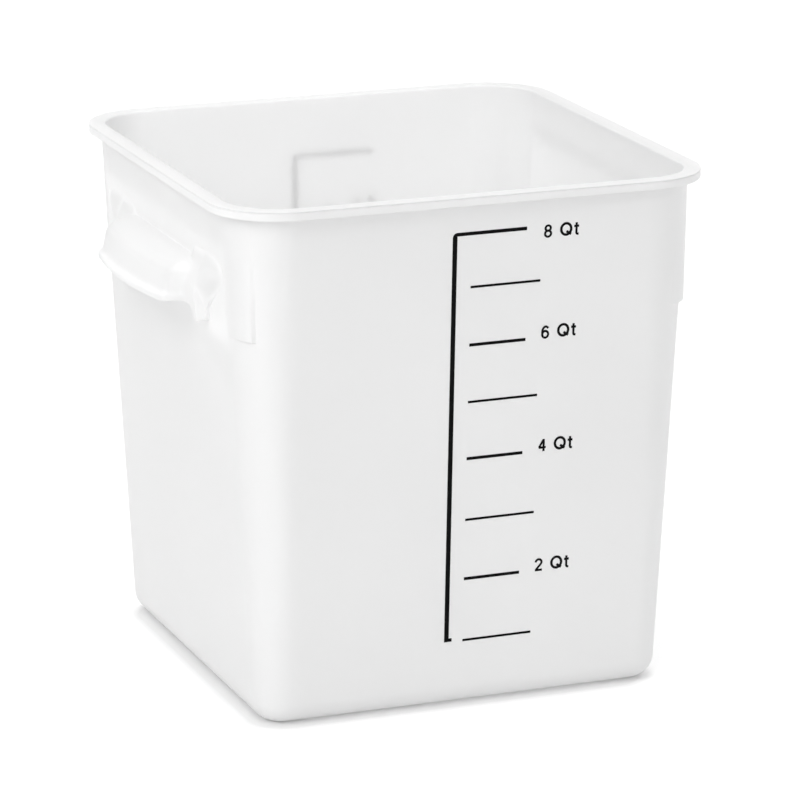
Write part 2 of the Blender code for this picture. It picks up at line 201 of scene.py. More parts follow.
CORNER_STEPS = 30
WALL_ROWS = 26
WALL_COLUMNS = 14
LUG_LENGTH = 0.0494
LUG_DROP = 0.0088
LUG_PROUD = 0.00185
LUG_SIDE = 0.0035         # half the width of the crease that a lug starts with, as a share of the corner
# The rounded foot of a lug: height above its lower end, and the share of its swell there
LUG_FOOT = ((0.0, 0.0), (0.00006, 0.55), (0.00018, 0.84), (0.0004, 0.97), (0.0009, 1.0))
# Anticlockwise from the right front corner: where each lug starts, where it has risen and where it starts
# to fade, as shares of the corner, how fast it fades, and how proud it is as a share
LUG_PLACES = (
    (0.36, 0.52, 0.86, 2.2, 1.0), (0.64, 0.48, 0.14, 2.2, 1.0), (0.49, 0.525, 0.60, 2.2, 0.75),
    (0.51, 0.475, 0.40, 2.2, 0.75),
)
PANEL_SET_BACK = 0.00045
PANEL_EDGE = 0.0022
PANEL_STEPS = 6
PANEL_STEPS_ON = 2        # and on past its edge
PANEL_LOW = 0.158
PANEL_HIGH = 0.208
GATE_RINGS = ((0.0075, 0.0006), (0.0071, 0.0010), (0.0018, 0.0010), (0.0015, 0.0007))
GATE_STEPS = 40
SMOOTH_ANGLE = math.radians(38)
QUARTER_TURN = math.radians(90)


def ease(value, low, high):
    """Rises smoothly from 0 at the low mark to 1 at the high mark."""
    part = min(max((value - low) / (high - low), 0), 1)
    return part * part * (3 - 2 * part)


def spread(low, high, steps):
    return [low + (high - low) * step / steps for step in range(1, steps)]


def wall_inset(height):
    return RIM_OVERHANG + LEAN * (1 - height / HEIGHT)


def wall_thick(height):
    return WALL_THIN + (WALL - WALL_THIN) * ease(height, HEIGHT - WALL_DROPS[1], HEIGHT - WALL_DROPS[0])


def straight_between(table, place):
    """The second value of a table at a place between its first values, along straight lines."""
    for low, high in zip(table, table[1:]):
        if place <= high[0]:
            return low[1] + (high[1] - low[1]) * (place - low[0]) / (high[0] - low[0])
    return table[-1][1]


def panel_share(along):
    """How much of the set-back there is at a place along a wall that carries a handle."""
    corner = WIDTH / 2 - RIM_CORNER
    return 1 - ease(abs(along), corner - PANEL_EDGE, corner)


def panel_depth(height):
    return PANEL_SET_BACK * ease(height, PANEL_LOW, PANEL_HIGH)


def lug_share(share, start, risen, fade, power, proud):
    """A lug rises from a crease at its start and fades into the wall at its other side."""
    end = 1 if risen > start else 0
    rise = min(max((share - start) / (risen - start), 0), 1)
    left = 1 - max((share - fade) / (end - fade), 0)
    return proud * rise * max(left, 0) ** power


def lug_swell(height):
    up = height - (HEIGHT - LUG_DROP - LUG_LENGTH)
    if not 0 < up < LUG_LENGTH:
        return 0.0
    return LUG_PROUD * straight_between(LUG_FOOT, up) * (1 - up / LUG_LENGTH)


def rim_path():
    """The edge of the rim, anticlockwise: each place, its outward direction, and its lug and panel shares."""
    half = WIDTH / 2
    corner = half - RIM_CORNER
    steps = PANEL_STEPS + PANEL_STEPS_ON
    edge = [-corner + PANEL_EDGE * step / PANEL_STEPS for step in range(1, steps + 1)]
    straight = edge + spread(edge[-1], -edge[-1], WALL_COLUMNS) + [-place for place in reversed(edge)]
    path = []
    for quarter, (side_x, side_y) in enumerate(((1, -1), (1, 1), (-1, 1), (-1, -1))):
        first = QUARTER_TURN * (quarter - 1)
        start, risen = LUG_PLACES[quarter][:2]
        shares = {step / CORNER_STEPS for step in range(CORNER_STEPS + 1)}
        shares |= {start - LUG_SIDE, start, start + (LUG_SIDE if risen > start else -LUG_SIDE), risen}
        for share in sorted(shares):
            angle = first + QUARTER_TURN * share
            outward = Vector((math.cos(angle), math.sin(angle), 0))
            place = Vector((side_x * corner, side_y * corner, HEIGHT)) + outward * RIM_CORNER
            path.append((place, outward, lug_share(share, *LUG_PLACES[quarter]), 0.0))
        sideways = Vector((-outward.y, outward.x, 0))     # along the wall that the corner ends at
        for along in straight:
            place = outward * half + sideways * along
            place.z = HEIGHT
            path.append((place, outward, 0.0, panel_share(along) * abs(outward.x)))
    return path


def quarter_round(radius, steps):
    """Distances from the two tangent sides of a quarter round, from one side to the other."""
    points = []
    for step in range(steps + 1):
        angle = QUARTER_TURN * step / steps
        points.append((radius * (1 - math.sin(angle)), radius * (1 - math.cos(angle))))
    return points


def inner_section():
    """From the floor up the inside and over the rim to its edge: distance in from the edge, and height."""
    bore = RIM_OVERHANG + WALL
    low = FLOOR + FOOT_RADIUS - WALL_THIN
    high = HEIGHT - RIM_ROUND
    section = [(wall_inset(FLOOR + up) + WALL_THIN + side, FLOOR + up)
               for side, up in quarter_round(FOOT_RADIUS - WALL_THIN, FOOT_STEPS)]
    for height in [low + CREASE] + spread(low, high, WALL_ROWS) + [high - CREASE]:
        section.append((wall_inset(height) + wall_thick(height), height))
    section += [(bore - side, HEIGHT - down) for down, side in quarter_round(RIM_ROUND, ROUND_STEPS)]
    section += [(bore - RIM_ROUND - CREASE, HEIGHT), (TOP_EDGE + CREASE, HEIGHT)]
    section += [(side, HEIGHT - down) for side, down in quarter_round(TOP_EDGE, 2)]
    return section


def outer_section():
    """From the groove of the rim down the lip and the outside to the middle of the underside."""
    groove = HEIGHT - GROOVE_LOW
    face = HEIGHT - RIM_FACE
    plate = HEIGHT - RIM_PLATE
    neck = wall_inset(plate)
    section = [(0, HEIGHT - GROOVE_TOP), (GROOVE_DEEP, HEIGHT - GROOVE_TOP - GROOVE_SLANT),
               (GROOVE_DEEP, groove + GROOVE_SLANT)]
    section += [(side, groove - down) for side, down in quarter_round(TOP_EDGE, 2)]
    section += [(0, groove - CREASE), (0, face + CREASE + LIP_ROUND)]
    section += [(side, face + up) for up, side in quarter_round(LIP_ROUND, ROUND_STEPS)]
    section += [(RIM_LIP - side, face + up) for side, up in quarter_round(LIP_ROUND, ROUND_STEPS)]
    section += [(RIM_LIP, plate), (RIM_LIP + CREASE, plate), (neck - NECK_ROUND - CREASE, plate)]
    for side, down in reversed(quarter_round(NECK_ROUND, ROUND_STEPS)):
        section.append((neck - side, plate - NECK_ROUND + down))
    high = plate - NECK_ROUND
    lug_low = HEIGHT - LUG_DROP - LUG_LENGTH
    heights = [high - CREASE] + spread(high, lug_low + LUG_FOOT[-1][0] + CREASE, WALL_ROWS // 2)
    heights += [HEIGHT - LUG_DROP] + [lug_low + up for up, share in LUG_FOOT] + [lug_low - CREASE]
    heights += spread(lug_low - CREASE, FOOT_RADIUS, WALL_ROWS) + [FOOT_RADIUS + CREASE]
    section += [(wall_inset(height), height) for height in sorted(heights, reverse=True)]
    section += [(wall_inset(up) + side, up) for side, up in reversed(quarter_round(FOOT_RADIUS, FOOT_STEPS))]
    ring = wall_inset(0) + FOOT_RADIUS + FOOT_RING
    return section + [(ring + CREASE * across, FOOT_RECESS * up) for across, up in RECESS_STEPS]


def placed(name, data):
    item = bpy.data.objects.new(name, data)
    bpy.context.scene.collection.objects.link(item)
    return item


def strip(name, points, closed, **columns):
    """A line of points as a mesh, with a named value or direction at each point."""
    mesh = bpy.data.meshes.new(name)
    edges = [(i, i + 1) for i in range(len(points) - 1)]
    if closed:
        edges.append((len(points) - 1, 0))
    mesh.from_pydata(points, edges, [])
    for column, values in columns.items():
        kind = "FLOAT_VECTOR" if isinstance(values[0], Vector) else "FLOAT"
        attribute = mesh.attributes.new(column, kind, "POINT")
        for item, value in zip(attribute.data, values):
            setattr(item, "vector" if kind == "FLOAT_VECTOR" else "value", value)
    return placed(name, mesh)


class Tree:
    """A Geometry Nodes tree in the making: one call adds a node, with its sockets set or linked by name."""

    def __init__(self, name, **sockets):
        self.tree = bpy.data.node_groups.new(name, "GeometryNodeTree")
        self.tree.interface.new_socket("Geometry", in_out="OUTPUT", socket_type="NodeSocketGeometry")
        self.tree.interface.new_socket("Geometry", in_out="INPUT", socket_type="NodeSocketGeometry")
        for socket, kind in sockets.items():
            self.tree.interface.new_socket(socket, in_out="INPUT", socket_type=f"NodeSocket{kind}")
        self.start = self.tree.nodes.new("NodeGroupInput")
        self.end = self.tree.nodes.new("NodeGroupOutput")

    def add(self, kind, inputs, **settings):
        node = self.tree.nodes.new(kind)
        for key, value in settings.items():
            setattr(node, key, value)
        for key, value in inputs.items():
            if isinstance(value, bpy.types.NodeSocket):
                self.tree.links.new(value, node.inputs[key])
            else:
                node.inputs[key].default_value = value
        return node.outputs

    def math(self, operation, one, other):
        return self.add("ShaderNodeMath", {0: one, 1: other}, operation=operation)[0]

    def read(self, name, kind="FLOAT"):
        return self.add("GeometryNodeInputNamedAttribute", {"Name": name}, data_type=kind)["Attribute"]

    def store(self, geometry, name, value):
        inputs = {"Geometry": geometry, "Name": name, "Value": value}
        settings = {"data_type": "FLOAT_VECTOR", "domain": "POINT"}
        return self.add("GeometryNodeStoreNamedAttribute", inputs, **settings)[0]

    def finish(self, geometry, material):
        whole = self.add("GeometryNodeRealizeInstances", {"Geometry": geometry})[0]
        painted = self.add("GeometryNodeSetMaterial", {"Geometry": whole, "Material": material})[0]
        self.tree.links.new(painted, self.end.inputs["Geometry"])
        return self.tree


def sweep_tree():
    """Sweeps a section along a path. The section is in distance out and depth, and swells and sets back."""
    inputs = {"Section": "Object", "Lugs": "Float", "Panels": "Float", "Material": "Material"}
    tree = Tree("swept_wall", **inputs)
    start = tree.start.outputs
    here = tree.add("GeometryNodeInputPosition", {})[0]
    path = tree.store(start["Geometry"], "seat", here)
    section = tree.add("GeometryNodeObjectInfo", {"Object": start["Section"]})["Geometry"]
    section = tree.store(section, "cut", here)
    path = tree.add("GeometryNodeMeshToCurve", {"Mesh": path})[0]
    section = tree.add("GeometryNodeMeshToCurve", {"Mesh": section})[0]
    skin = tree.add("GeometryNodeCurveToMesh", {"Curve": path, "Profile Curve": section})[0]
    cut = tree.add("ShaderNodeSeparateXYZ", {0: tree.read("cut", "FLOAT_VECTOR")})
    lug = tree.math("MULTIPLY", tree.read("lug"), tree.read("swell"))
    panel = tree.math("MULTIPLY", tree.read("panel"), tree.read("set_back"))
    out = tree.math("ADD", cut["X"], tree.math("MULTIPLY", lug, start["Lugs"]))
    out = tree.math("SUBTRACT", out, tree.math("MULTIPLY", panel, start["Panels"]))
    outward = tree.read("outward", "FLOAT_VECTOR")
    aside = tree.add("ShaderNodeVectorMath", {0: outward, "Scale": out}, operation="SCALE")[0]
    down = tree.add("ShaderNodeCombineXYZ", {"Z": tree.math("MULTIPLY", cut["Y"], -1.0)})[0]
    place = tree.read("seat", "FLOAT_VECTOR")
    for move in (aside, down):
        place = tree.add("ShaderNodeVectorMath", {0: place, 1: move}, operation="ADD")[0]
    skin = tree.add("GeometryNodeSetPosition", {"Geometry": skin, "Position": place})[0]
    return tree.finish(skin, start["Material"])


def as_mesh(item):
    """The plain mesh of an object with its modifiers. The object is used up."""
    graph = bpy.context.evaluated_depsgraph_get()
    mesh = bpy.data.meshes.new_from_object(item.evaluated_get(graph))
    bpy.data.objects.remove(item)
    return mesh


def grown(item, tree, **values):
    """The mesh that a tree makes of an object."""
    modifier = item.modifiers.new(tree.name, "NODES")
    modifier.node_group = tree
    for socket in tree.interface.items_tree:
        if socket.in_out == "INPUT" and socket.name in values:
            modifier[socket.identifier] = values[socket.name]
    return as_mesh(item)


def ring_of(form, radius, height):
    corners = []
    for step in range(GATE_STEPS):
        angle = math.tau * step / GATE_STEPS
        corners.append(form.verts.new((radius * math.cos(angle), radius * math.sin(angle), height)))
    return [form.edges.new((corners[i - 1], corners[i])) for i in range(GATE_STEPS)]


def settled(form, mesh):
    """Writes a form into a mesh, with its faces turned outwards."""
    bmesh.ops.recalc_face_normals(form, faces=form.faces)
    form.to_mesh(mesh)
    form.free()
    return mesh


def close_floor(mesh):
    """Closes the floor over and under, with the small round mark of the moulding gate underneath."""
    form = bmesh.new()
    form.from_mesh(mesh)
    rings = {True: [], False: []}
    for edge in form.edges:
        if edge.is_boundary:
            rings[edge.verts[0].co.z > FLOOR / 2].append(edge)
    bmesh.ops.contextual_create(form, geom=rings[True])
    outer = rings[False]
    for radius, height in GATE_RINGS:
        inner = ring_of(form, radius, height)
        bmesh.ops.bridge_loops(form, edges=outer + inner)
        outer = inner
    bmesh.ops.contextual_create(form, geom=outer)
    settled(form, mesh)


def clear_columns(mesh):
    for name in [attribute.name for attribute in mesh.attributes]:
        if name in ("seat", "cut", "outward", "lug", "panel", "swell", "set_back"):
            mesh.attributes.remove(mesh.attributes[name])


def smooth(mesh):
    mesh.shade_smooth()
    mesh.set_sharp_from_angle(angle=SMOOTH_ANGLE)


def new_piece(name, mesh, slot, *nodes):
    """A finished piece of the container, in place of the solids that it stands for."""
    item = placed(name, mesh)
    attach(item, "root")
    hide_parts(*nodes)


def make_tub():
    path = rim_path()
    inner = inner_section()
    outer = outer_section()
    points = [Vector((-inset, HEIGHT - height, 0)) for inset, height in inner + outer]
    swell = [0.0] * len(inner) + [lug_swell(height) for inset, height in outer]
    neck = HEIGHT - RIM_PLATE
    set_back = [0.0] * len(inner)
    set_back += [panel_depth(height) if inset > RIM_LIP + CREASE and height <= neck else 0.0
                 for inset, height in outer]
    section = strip("tub_section", points, False, swell=swell, set_back=set_back)
    places, outward, lug, panel = zip(*path)
    rim = strip("tub_rim", places, True, outward=outward, lug=lug, panel=panel)
    mesh = grown(rim, sweep_tree(), Section=section, Lugs=1.0, Panels=1.0, Material=polyethylene)
    bpy.data.objects.remove(section)
    clear_columns(mesh)
    close_floor(mesh)
    smooth(mesh)
    mesh.name = "tub_moulding"
    new_piece("tub_moulding", mesh, "polyethylene", "tub")


make_tub()


# The handles: a hood on each side wall that bows out over the finger space, on a low pad that spreads
# along the wall and runs down in two legs. They are moulded in one with the tub, of the same plastic.
HOOD_HALF = 0.0446        # half the length of the hood along the wall
HOOD_REACH = 0.0220       # how far its lower edge stands out at mid length
HOOD_BOW = 0.0043         # how much less that is at its ends
HOOD_DROP = 0.0320        # from the top of the rim to the top of the hood
HOOD_TALL = 0.0180
HOOD_THICK = 0.0022
FINGER_ROUND = 0.0040     # at the ends of the finger space
LEG_TALL = 0.0073         # the legs reach down below the hood, one past each of its ends
LEG_STEP = 0.0088
LEG_WIDE = 0.0026
LEG_ROUND = 0.0060
LEG_HALF = HOOD_HALF + LEG_STEP + LEG_WIDE
PAD_SPREAD = 0.0225       # how far the pad runs on past the legs
PAD_HALF = LEG_HALF + PAD_SPREAD
PAD_RISE = 0.0090
PAD_EDGE = -0.0004        # below the wall, which cuts it off
PAD_SWELL = 0.0062
PAD_BLEND = 0.0045
OVERRUN = 0.004           # how far a cutter runs past what it cuts
ROOT = 0.0012             # how deep a handle is rooted in the wall until its back is trimmed to it
SEAT = 0.00002            # between the trimmed back and the wall
FINE = 0.00040            # size of the mesh that rounds the edges
CUT_NEAR = FINE / 100     # what counts as on the cut along the wall
WELD_NEAR = FINE / 8      # and what is joined along it
SOFTEN = 0.5
SOFTEN_STEPS = 4
GRID_FINER = 3            # how many columns and rows stand for one in the tables
# The outside of the hood: height as a share, the share of its reach there, and the share of its length
HOOD_SHARES = (
    (0.00, 1.000, 1.00), (0.12, 1.000, 1.00), (0.21, 0.885, 1.00), (0.34, 0.845, 1.00),
    (0.50, 0.802, 1.00), (0.64, 0.762, 1.00), (0.74, 0.705, 0.995), (0.81, 0.620, 0.985),
    (0.87, 0.495, 0.965), (0.935, 0.255, 0.93), (1.00, 0.012, 0.87),
)
# Stations along the handle: 0 to 1 is the hood, 1 to 2 runs from its end to the outer side of the leg, and
# 2 to 3 is the rest of the pad. Their places, and the share of the hood's reach that is left at a station
STATION_PLACES = ((0, 0), (1, HOOD_HALF), (2, LEG_HALF), (3, PAD_HALF))
HOOD_END_SHARES = (
    (0.00, 1.00), (0.90, 1.00), (0.95, 0.985), (0.98, 0.95), (1.00, 0.90), (1.05, 0.79), (1.12, 0.65),
    (1.20, 0.53), (1.33, 0.41), (1.46, 0.32), (1.62, 0.24), (1.86, 0.14), (2.13, 0.06), (2.49, 0.00),
    (3.00, 0.00),
)
# The pad at a station: its swell, where it starts as a share of its height, and its rise, as shares
PAD_SHARES = (
    (0.00, 0.00, 0.00, 0.10), (0.84, 0.00, 0.00, 0.10), (0.94, 0.15, 0.00, 0.30), (1.05, 0.60, 0.00, 0.64),
    (1.20, 1.00, 0.00, 0.80), (1.46, 1.12, 0.00, 0.93), (1.75, 1.06, 0.00, 0.98), (2.00, 0.98, 0.00, 1.00),
    (2.05, 0.95, 0.12, 1.00), (2.156, 0.87, 0.23, 0.98), (2.44, 0.62, 0.37, 0.94), (2.72, 0.36, 0.45, 0.85),
    (2.89, 0.17, 0.50, 0.70), (2.97, 0.05, 0.58, 0.39), (3.00, 0.00, 0.66, 0.01),
)
# The swell near the top and near a free lower edge of the pad: distance from that edge as a share of its
# height, and what is left
PAD_TOP_SHARES = (
    (0.00, 0.00), (0.08, 0.03), (0.16, 0.12), (0.26, 0.32), (0.38, 0.60), (0.50, 0.84), (0.62, 1.00),
)
PAD_FADE_SHARES = ((0.00, 0.00), (0.10, 0.15), (0.20, 0.38), (0.32, 0.66), (0.46, 0.88), (0.60, 1.00))
# How much of the hood's narrowing towards its top a station of the grid follows
FOLLOW_SHARES = ((0.00, 1.00), (1.33, 1.00), (2.00, 0.00), (3.00, 0.00))
COLUMN_SHARES = (
    0, 0.16, 0.32, 0.48, 0.64, 0.76, 0.84, 0.90, 0.94, 0.965, 0.98, 1, 1.05, 1.12, 1.20, 1.33, 1.46,
    1.62, 1.75, 1.88, 2, 2.05, 2.156, 2.30, 2.44, 2.58, 2.72, 2.83, 2.91, 2.97, 3,
)
PAD_ROW_SHARES = (0, 0.12, 0.35, 0.65, 0.88, 1)
FINGER_SHARES = (0, 0.3, 0.6, 0.85, 0.91, 0.94, 0.965, 0.985, 1)
FINGER_ROW_SHARES = (0.18, 0.26, 0.36, 0.50, 0.64, 0.74, 0.81)
ARC_STEPS = 10


def between(table, place, column):
    """A column of a table of shares, read at a place between its rows along a smooth line."""
    places = [row[0] for row in table]
    values = [row[column] for row in table]
    steps = [(values[i + 1] - values[i]) / (places[i + 1] - places[i]) for i in range(len(table) - 1)]
    slopes = [steps[0]]
    for one, other in zip(steps, steps[1:]):
        slopes.append(2 * one * other / (one + other) if one * other > 0 else 0.0)
    slopes.append(steps[-1])
    place = min(max(place, places[0]), places[-1])
    i = max(k for k in range(len(steps)) if places[k] <= place)
    width = places[i + 1] - places[i]
    part = (place - places[i]) / width
    rise = values[i + 1] - values[i]
    bend = slopes[i] * width * part * (1 - part) ** 2 - slopes[i + 1] * width * (1 - part) * part ** 2
    return values[i] + rise * part * part * (3 - 2 * part) + bend


def finer(places):
    fine = [places[0]]
    for low, high in zip(places, places[1:]):
        fine += [low + (high - low) * step / GRID_FINER for step in range(1, GRID_FINER + 1)]
    return fine


def wall_point(along, out, height):
    """A point beside the left wall: its place along it, its distance out from it and its height."""
    back = panel_depth(height) * panel_share(along)
    return Vector((-(WIDTH / 2 - wall_inset(height) + out - back), along, height))


def pad_place(station):
    return straight_between(STATION_PLACES, station)


def pad_station(place):
    return straight_between([(along, station) for station, along in STATION_PLACES], abs(place))


def hood_out(station, share):
    """How far the outside of the hood stands out, at a station and a share of its height."""
    reach = HOOD_REACH - HOOD_BOW * min(station, 1) ** 2
    return reach * between(HOOD_END_SHARES, station, 1) * between(HOOD_SHARES, share, 1)


def pad_out(station, rise):
    """How far the pad stands out, at a station and a share of its height there."""
    swell = between(PAD_SHARES, station, 1)
    fade = between(PAD_TOP_SHARES, 1 - rise, 1)
    if between(PAD_SHARES, station, 2) > 0:
        fade *= between(PAD_FADE_SHARES, rise, 1)
    return PAD_EDGE + (PAD_SWELL - PAD_EDGE) * swell * fade


def soft_larger(one, other, blend):
    """The larger of two heights over the wall, with a fillet between them that dies out at the wall."""
    near = max(blend - abs(one - other), 0) / blend
    larger = max(one, other)
    return larger + near ** 2 * min(max(larger, 0), blend) / 4


def handle_column(station, side):
    """The points of the outside of the handle at one station, from its lower edge up. The side is -1 or 1."""
    low = between(PAD_SHARES, station, 2)
    crest = between(PAD_SHARES, station, 3)
    hood_top = HEIGHT - HOOD_DROP
    hood_low = hood_top - HOOD_TALL
    bottom = hood_low - LEG_TALL
    top = hood_top + PAD_RISE * crest
    start = bottom + (LEG_TALL + HOOD_TALL + PAD_RISE) * low
    heights = finer([bottom, bottom + LEG_TALL / 2, hood_low])[:-1]
    heights += [hood_low + HOOD_TALL * share for share in finer([row[0] for row in HOOD_SHARES])]
    heights += [hood_top + PAD_RISE * crest * share for share in finer(PAD_ROW_SHARES)[1:]]
    points = []
    for height in heights:
        rise = (height - bottom) / (top - bottom)
        seat = start + (top - start) * rise
        share = min(max((seat - hood_low) / HOOD_TALL, 0), 1)
        narrowing = (1 - between(HOOD_SHARES, share, 2)) * between(FOLLOW_SHARES, station, 1)
        hood = hood_out(station, share) if seat <= hood_top else 0
        out = soft_larger(hood, pad_out(station, rise), PAD_BLEND)
        points.append(wall_point(side * pad_place(station) * (1 - narrowing), out, seat))
    return points


def handle_skin():
    """The hood and its pad as one solid: a grid over the wall, and a flat back inside the wall."""
    stations = finer(COLUMN_SHARES)
    columns = [handle_column(station, -1) for station in reversed(stations[1:])]
    columns += [handle_column(station, 1) for station in stations]
    form = bmesh.new()
    grid = [[form.verts.new(point) for point in column] for column in columns]
    for near, far in zip(grid, grid[1:]):
        for i in range(len(near) - 1):
            form.faces.new((near[i], far[i], far[i + 1], near[i + 1]))
    border = [column[0] for column in grid] + grid[-1][1:]
    border += [column[-1] for column in reversed(grid[:-1])] + list(reversed(grid[0][1:-1]))
    back = [form.verts.new(wall_point(point.co.y, -ROOT, point.co.z)) for point in border]
    for i in range(len(border)):
        j = (i + 1) % len(border)
        form.faces.new((border[i], border[j], back[j], back[i]))
    form.faces.new(back)
    return settled(form, bpy.data.meshes.new("handle_skin"))


def loft(name, rings):
    """A closed mesh through rings of equal length, with the first and the last ring filled."""
    form = bmesh.new()
    rows = [[form.verts.new(point) for point in ring] for ring in rings]
    count = len(rings[0])
    for low, high in zip(rows, rows[1:]):
        for i in range(count):
            j = (i + 1) % count
            form.faces.new((low[i], low[j], high[j], high[i]))
    form.faces.new(rows[0])
    form.faces.new(rows[-1])
    return settled(form, bpy.data.meshes.new(name))


def finger_hollow():
    """The hollow under the hood, from inside the wall to the thickness of the hood."""
    hood_low = HEIGHT - HOOD_DROP - HOOD_TALL
    floor = hood_low - LEG_TALL - OVERRUN
    roof = hood_low + HOOD_TALL - HOOD_THICK
    half = HOOD_HALF - HOOD_THICK
    rings = []
    for share in [-share for share in reversed(FINGER_SHARES[1:])] + list(FINGER_SHARES):
        place = half * share
        into_round = max(abs(place) - half + FINGER_ROUND, 0)
        less = FINGER_ROUND - math.sqrt(max(FINGER_ROUND ** 2 - into_round ** 2, 0)) + HOOD_THICK
        ring = [wall_point(place, -OVERRUN, floor)]
        for rise in (0,) + FINGER_ROW_SHARES:
            height = hood_low + HOOD_TALL * rise - HOOD_THICK / 2 if rise else floor
            inner = max(rise, FINGER_ROW_SHARES[0])
            station = pad_station(place / between(HOOD_SHARES, inner, 2))
            ring.append(wall_point(place, hood_out(station, inner) - less, height))
        ring.append(wall_point(place, 0, roof))
        ring.append(wall_point(place, -OVERRUN, roof))
        rings.append(ring)
    return loft("finger_hollow", rings)


def leg_arch():
    """What is cut away between the legs: a wide arch with round upper corners."""
    top = HEIGHT - HOOD_DROP - HOOD_TALL
    floor = top - LEG_TALL - OVERRUN
    half = LEG_HALF - LEG_WIDE
    corner = []
    for step in range(ARC_STEPS + 1):
        angle = QUARTER_TURN * step / ARC_STEPS
        corner.append((half - LEG_ROUND * (1 - math.cos(angle)), top - LEG_ROUND * (1 - math.sin(angle))))
    outline = [(-half, floor), (half, floor)] + corner + [(-along, up) for along, up in reversed(corner)]
    return loft("leg_arch", [[wall_point(along, out, up) for along, up in outline]
                             for out in (-OVERRUN, HOOD_REACH + OVERRUN)])


def carved(skin, cutters):
    """The skin with the cutters taken out of it, and its edges rounded by a fine even mesh."""
    item = placed("carving", skin)
    tools = [placed(mesh.name, mesh) for mesh in cutters]
    for mesh, tool in zip(cutters, tools):
        modifier = item.modifiers.new(mesh.name, "BOOLEAN")
        modifier.operation = "DIFFERENCE"
        modifier.solver = "EXACT"
        modifier.object = tool
    remesh = item.modifiers.new("even", "REMESH")
    remesh.mode = "VOXEL"
    remesh.voxel_size = FINE
    soften = item.modifiers.new("soften", "SMOOTH")
    soften.factor = SOFTEN
    soften.iterations = SOFTEN_STEPS
    mesh = as_mesh(item)
    for tool in tools:
        bpy.data.objects.remove(tool)
    return mesh


def trim_to_wall(mesh):
    """Cuts off everything inside the wall, and closes the cut along the wall's outside."""
    form = bmesh.new()
    form.from_mesh(mesh)
    for vertex in form.verts:
        vertex.co.x -= wall_point(vertex.co.y, SEAT, vertex.co.z).x
    bmesh.ops.bisect_plane(form, geom=form.verts[:] + form.edges[:] + form.faces[:], dist=CUT_NEAR,
                           plane_co=(0, 0, 0), plane_no=(1, 0, 0), clear_outer=True)
    bmesh.ops.remove_doubles(form, verts=form.verts, dist=WELD_NEAR)
    bmesh.ops.edgeloop_fill(form, edges=[edge for edge in form.edges if edge.is_boundary])
    for vertex in form.verts:
        vertex.co.x += wall_point(vertex.co.y, SEAT, vertex.co.z).x
    settled(form, mesh)


def make_handles():
    mesh = carved(handle_skin(), (leg_arch(), finger_hollow()))
    trim_to_wall(mesh)
    mesh.materials.clear()
    mesh.materials.append(polyethylene)
    smooth(mesh)
    mesh.name = "handle_left_hood"
    other = mesh.copy()
    other.name = "handle_right_hood"
    other.transform(Matrix.Rotation(math.pi, 4, "Z"))
    new_piece("handle_left_hood", mesh, "polyethylene", "handle_left")
    new_piece("handle_right_hood", other, "polyethylene", "handle_right")


make_handles()


# The printed scales: black screen ink on the outside of the front wall in quarts and of the back wall
# in litres. Each is a frame, ticks and labels, laid down as one thin film on the leaning wall.
INK_THICK = 0.00006
INK_SEAT = 0.00002
INK_WELD = INK_THICK / 10  # points of ink nearer than this are joined
PRINT_TURN = 0.003        # a print never sits quite straight: its turn about its middle height
PRINT_MIDDLE = 0.120
BAR_WIDE = 0.0021
TOP_WIDE = 0.00155
TICK_THICK = 0.00137
TICK_THIN = 0.00106
TICK_SHORT = 0.0257
TICK_LONG = 0.0318
TICK_INSET = 0.0075
BAR_CORNER = 0.0022
BAR_HOOK = 0.0024
LETTER_HIGH = 0.0059
LETTER_ARC = 12           # degrees from point to point of a round stroke
STROKE_MEETS = 1e-6       # a stroke whose ends are nearer than this share of a letter runs round
QUART_PLACE = -0.0098
QUART_TOP = 0.0326
QUART_SHARES = (0.1309, 0.2539, 0.3709, 0.4913, 0.6017, 0.7122, 0.8235, 0.9257)
LITRE_PLACE = 0.0071
LITRE_TOP = 0.0390
LITRE_SHARES = (0.158, 0.287, 0.411, 0.5365, 0.653, 0.770, 0.884)
# Each letter of a label: what it is, its start from the upright, its width, height and pen, and its lift
QUART_LETTERS = (
    ("number", 0.0404, 0.0037, 0.0059, 0.00098, 0.0001), ("Q", 0.0477, 0.0057, 0.0061, 0.00112, 0.0002),
    ("t", 0.05425, 0.0022, 0.0058, 0.0010, 0.0002),
)
LITRE_LETTERS = (
    ("number", -0.0389, 0.0037, 0.0059, 0.00098, 0.0001), ("L", -0.0310, 0.0032, 0.0059, 0.00105, 0.0001),
)
INK = (0.002, 0.002, 0.002, 1.0)
INK_WORN = (0.0045, 0.0045, 0.0048, 1.0)
INK_ROUGH = (0.42, 0.6)
INK_GLOSS = 0.04
INK_CLOUDS = (350, 4)
INK_SHEEN = (500, 3)
INK_GRAIN = (2500, 2)
INK_RELIEF = (0.25, 0.00002)


def make_ink():
    material, shader = new_material("black_ink", INK_ROUGH[0], INK_GLOSS)
    give_finish(material, shader, (INK, INK_WORN), INK_ROUGH, INK_CLOUDS, INK_SHEEN, INK_GRAIN, INK_RELIEF)
    return material


ink = make_ink()


def print_place(turn):
    """Turns flat ink to lie on the front wall, or with a half turn on the back wall."""
    lean = math.atan2(LEAN, HEIGHT)
    stand = Matrix.Rotation(QUARTER_TURN + lean, 4, "X")
    seat = Matrix.Translation((0, -(WIDTH / 2 - wall_inset(0)), 0))
    middle = Matrix.Translation((0, PRINT_MIDDLE, INK_SEAT))
    set_askew = middle @ Matrix.Rotation(PRINT_TURN, 4, "Z") @ Matrix.Translation((0, -PRINT_MIDDLE, 0))
    return Matrix.Rotation(turn, 4, "Z") @ seat @ stand @ set_askew


def up_wall(share):
    """A share of the tub's height, measured up along the leaning wall."""
    return share * math.hypot(HEIGHT, LEAN)


